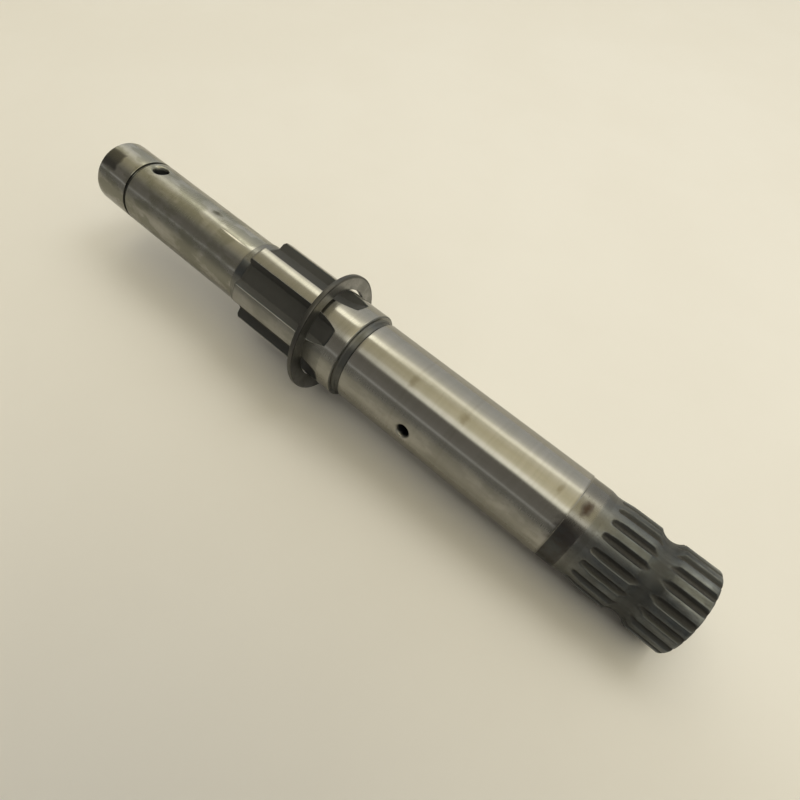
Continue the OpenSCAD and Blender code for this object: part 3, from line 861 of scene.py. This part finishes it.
washer_steel, tree, shader, mm_vector = new_material("dark_spring_steel")
parts = put(tree, "ShaderNodeSeparateXYZ", {"Vector": mm_vector}).outputs
radius = calc(tree, "SQRT", calc(tree, "ADD", calc(tree, "MULTIPLY", parts["Y"], parts["Y"]),
                                 calc(tree, "MULTIPLY", parts["Z"], parts["Z"])))
turning = group_node(tree, lines_group, Across=radius, Vector=mm_vector, Pitch=0.35).outputs["Lines"]
oil = group_node(tree, mottle_group, Vector=mm_vector, Size=3.5)
ring_colour = blend_colour(tree, oil.outputs["Cloud"], WASHER_STEEL, WASHER_DARK)
ring_colour = blend_colour(tree, fade(tree, turning, 0.4, 0.7, 0.0, 0.08), ring_colour, BARE_STEEL)
rim = calc(tree, "MULTIPLY", mask(tree, "bare_edge"), fade(tree, oil.outputs["Cloud"], 0.1, 0.9, 0.35, 0.1))
ring_colour = blend_colour(tree, rim, ring_colour, BARE_STEEL)
outer_rim = fade(tree, radius, WASHER_OUTER_R - 0.5, WASHER_OUTER_R - 0.2)
ring_colour = blend_colour(tree, outer_rim, ring_colour, RIM_DARK)
ring_colour = blend_colour(tree, calc(tree, "MULTIPLY", oil.outputs["Speck"], 0.25), ring_colour, RUST_BROWN)
tree.links.new(ring_colour, shader.inputs["Base Color"])
tree.links.new(fade(tree, oil.outputs["Cloud"], 0.0, 1.0, 0.33, 0.46), shader.inputs["Roughness"])
shader.inputs["Metallic"].default_value = 1.0
bump = put(tree, "ShaderNodeBump", {"Height": turning, "Strength": 0.2, "Distance": 0.00002})
tree.links.new(bump.outputs["Normal"], shader.inputs["Normal"])
washer.data.materials.append(washer_steel)


# Table top. A plain cream board under the shaft, which lies on the washer's rim and on the teeth of the lever
# end. The board is pitched by the slope between these two, because the shaft's axis is the model's X axis.
BOARD_CREAM = (0.80, 0.78, 0.745, 1.0)
BOARD_SHADE = (0.765, 0.74, 0.698, 1.0)
BOARD_REACH = 2000.0
BOARD_STEPS = 21
BOARD_GAP = 0.03
washer_foot = washer_points[:, :, 2].min()
x_foot = washer_points.reshape(-1, 3)[washer_points[:, :, 2].argmin(), 0]
board_slope = (tooth_foot - washer_foot) / (X_OUTER - END_CHAMFER - x_foot)
board_a, board_b = np.meshgrid(np.linspace(-BOARD_REACH, BOARD_REACH, BOARD_STEPS),
                               np.linspace(-BOARD_REACH, BOARD_REACH, BOARD_STEPS), indexing="ij")
board_points = np.stack([x_foot + board_a, board_b, washer_foot - BOARD_GAP + board_a * board_slope], axis=2)
row, line = np.meshgrid(np.arange(BOARD_STEPS - 1), np.arange(BOARD_STEPS - 1), indexing="ij")
corner = row * BOARD_STEPS + line
board_quads = np.stack([corner, corner + BOARD_STEPS, corner + BOARD_STEPS + 1, corner + 1], axis=2)
board = new_piece("table_top", board_points, board_quads.reshape(-1, 4))
board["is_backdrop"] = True
cream_board, tree, shader, mm_vector = new_material("cream_board")
board_cloud = group_node(tree, mottle_group, Vector=mm_vector, Size=70.0)
board_share = calc(tree, "MULTIPLY", board_cloud.outputs["Cloud"], 0.35)
board_colour = blend_colour(tree, board_share, BOARD_CREAM, BOARD_SHADE)
tree.links.new(board_colour, shader.inputs["Base Color"])
tree.links.new(fade(tree, board_cloud.outputs["Cloud"], 0.0, 1.0, 0.5, 0.62), shader.inputs["Roughness"])
board.data.materials.append(cream_board)


# Room. Soft light from a pale ceiling that is brightest over the far side, with a darker wall on the near
# side, and a large soft lamp beyond the shaft that throws its shadow to the near side.
ROOM_TINT = [
    (-180.0, (0.32, 0.31, 0.275)), (-92.0, (0.32, 0.31, 0.275)), (-77.0, (0.24, 0.23, 0.2)),
    (-68.0, (0.25, 0.24, 0.21)), (-65.5, (0.52, 0.51, 0.48)), (-63.0, (0.52, 0.51, 0.48)),
    (-60.0, (0.27, 0.255, 0.225)), (-32.0, (0.22, 0.205, 0.175)), (-24.0, (0.27, 0.255, 0.21)),
    (-10.0, (0.39, 0.355, 0.265)), (10.0, (0.52, 0.47, 0.325)), (22.0, (0.69, 0.635, 0.49)),
    (34.0, (0.95, 0.9, 0.74)), (47.0, (0.93, 0.89, 0.78)), (60.0, (0.83, 0.81, 0.74)),
    (75.0, (0.74, 0.73, 0.68)), (100.0, (0.76, 0.74, 0.68)), (180.0, (0.32, 0.31, 0.275)),
]
LAMP_TINT = [
    (-180.0, (0.0, 0.0, 0.0)), (-27.0, (0.0, 0.0, 0.0)), (-22.0, (1.5, 1.46, 1.27)),
    (-15.0, (1.5, 1.46, 1.27)), (-7.0, (0.78, 0.72, 0.52)), (10.0, (0.5, 0.45, 0.3)),
    (25.0, (0.35, 0.315, 0.2)), (45.0, (0.0, 0.0, 0.0)), (180.0, (0.0, 0.0, 0.0)),
]
STRIP_TINT = [
    (-180.0, (0.0, 0.0, 0.0)), (20.0, (0.0, 0.0, 0.0)), (24.5, (0.92, 0.89, 0.74)),
    (30.0, (0.92, 0.89, 0.74)), (37.0, (0.19, 0.185, 0.155)), (47.0, (0.0, 0.0, 0.0)),
    (180.0, (0.0, 0.0, 0.0)),
]

# The strip isn't straight or even. Along X, the part of the direction that points along the shaft, it steps
# sideways by some degrees and grows stronger or weaker: from, to, value before, value after.
STRIP_BENDS = [(-0.61, -0.54, 7.0, 0.0), (-0.36, -0.31, 0.0, 7.0), (-0.1, 0.08, 0.0, 7.0)]
STRIP_STRENGTHS = [(-0.7, -0.56, 0.0, 1.0), (-0.37, -0.31, 2.5, 0.7), (-0.47, -0.43, 1.0, 1.35),
                   (-0.2, -0.08, 0.75, 1.05)]
LAMP_FROM = -0.55
LAMP_TO = -0.12
KEY_PLACE = (0.02, 0.2, 0.4)
KEY_SIZE = 0.2
KEY_POWER = 0.34
KEY_COLOUR = (1.0, 0.99, 0.97)


def sky_ramp(tree, turn_share, tints):
    """Colour by the angle round the shaft's axis, from stops in degrees: 0 is up and 90 is the far side."""
    node = put(tree, "ShaderNodeValToRGB", {"Fac": turn_share})
    stops = node.color_ramp.elements
    while len(stops) < len(tints):
        stops.new(0.5)
    for stop, (angle, tint) in zip(stops, tints):
        stop.position = (angle + 180.0) / 360.0
        stop.color = (*tint, 1.0)
    return node.outputs["Color"]


room = bpy.data.worlds.new("room")
bpy.context.scene.world = room
room.use_nodes = True
tree = room.node_tree
toward = put(tree, "ShaderNodeTexCoord").outputs["Generated"]
parts = put(tree, "ShaderNodeSeparateXYZ", {"Vector": toward}).outputs
sky_turn = calc(tree, "DEGREES", calc(tree, "ARCTAN2", parts["Y"], parts["Z"]))
turn_share = calc(tree, "ADD", calc(tree, "DIVIDE", sky_turn, 360.0), 0.5)
bend = 0.0
for low, high, before, after in STRIP_BENDS:
    bend = calc(tree, "ADD", bend, fade(tree, parts["X"], low, high, before, after))
strip_reach = 1.0
for low, high, before, after in STRIP_STRENGTHS:
    strip_reach = calc(tree, "MULTIPLY", strip_reach, fade(tree, parts["X"], low, high, before, after))
strip_share = calc(tree, "SUBTRACT", turn_share, calc(tree, "DIVIDE", bend, 360.0))
lamp_reach = fade(tree, parts["X"], LAMP_FROM, LAMP_TO)
lamp = put(tree, "ShaderNodeVectorMath", {0: sky_ramp(tree, turn_share, LAMP_TINT), "Scale": lamp_reach},
           operation="SCALE").outputs["Vector"]
strip = put(tree, "ShaderNodeVectorMath", {0: sky_ramp(tree, strip_share, STRIP_TINT), "Scale": strip_reach},
            operation="SCALE").outputs["Vector"]
glow = put(tree, "ShaderNodeVectorMath", {0: lamp, 1: strip}, operation="ADD").outputs["Vector"]
sky = put(tree, "ShaderNodeVectorMath", {0: sky_ramp(tree, turn_share, ROOM_TINT), 1: glow},
          operation="ADD").outputs["Vector"]
tree.links.new(sky, tree.nodes["Background"].inputs["Color"])

key_data = bpy.data.lights.new("key_lamp", "AREA")
key_data.shape = "DISK"
key_data.size = KEY_SIZE
key_data.energy = KEY_POWER
key_data.color = KEY_COLOUR
key_lamp = bpy.data.objects.new("key_lamp", key_data)
key_lamp.location = KEY_PLACE
key_lamp.rotation_euler = (Vector(KEY_PLACE) * -1.0).to_track_quat("-Z", "Y").to_euler()
key_lamp.visible_camera = False
key_lamp.visible_glossy = False
bpy.context.scene.collection.objects.link(key_lamp)

# A dark card held over the near side, which keeps some of the ceiling's light off the table there
CARD_FROM = (-40.0, -260.0)
CARD_TO = (220.0, -58.0)
CARD_HEIGHT = 120.0
CARD_GREY = (0.05, 0.05, 0.048, 1.0)
card_a, card_b = np.meshgrid([CARD_FROM[0], CARD_TO[0]], [CARD_FROM[1], CARD_TO[1]], indexing="ij")
card_points = np.stack([card_a, card_b, np.full((2, 2), CARD_HEIGHT)], axis=2)
card = new_piece("shade_card", card_points, np.array([[0, 2, 3, 1]]))
card.visible_camera = False
card.visible_glossy = False
card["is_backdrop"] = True
card_paper, tree, shader, mm_vector = new_material("grey_card")
shader.inputs["Base Color"].default_value = CARD_GREY
shader.inputs["Roughness"].default_value = 0.9
card.data.materials.append(card_paper)


# Camera. It stands close above the lever end and looks down along the shaft toward the spindle, so that the
# lever end comes out large. Its place and its three axes were fitted to the outlines in the photograph.
CAMERA_PLACE = (0.02317, -0.06773, 0.11971)
CAMERA_RIGHT = (0.7535, 0.6494, 0.1024)
CAMERA_UP = (-0.5952, 0.6078, 0.5256)
CAMERA_BACK = (0.2791, -0.4571, 0.8446)
SENSOR = 36.0
FRAME_PIXELS = 800.0
FOCAL_PIXELS = 583.78
camera_data = bpy.data.cameras.new("camera")
camera_data.sensor_width = SENSOR
camera_data.lens = FOCAL_PIXELS / FRAME_PIXELS * SENSOR
camera_data.clip_start = 0.005
camera = bpy.data.objects.new("camera", camera_data)
camera.matrix_world = Matrix([
    [CAMERA_RIGHT[i], CAMERA_UP[i], CAMERA_BACK[i], CAMERA_PLACE[i]] for i in range(3)
] + [[0.0, 0.0, 0.0, 1.0]])
bpy.context.scene.collection.objects.link(camera)
bpy.context.scene.camera = camera
bpy.context.scene.view_settings.view_transform = "Standard"

low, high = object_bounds()
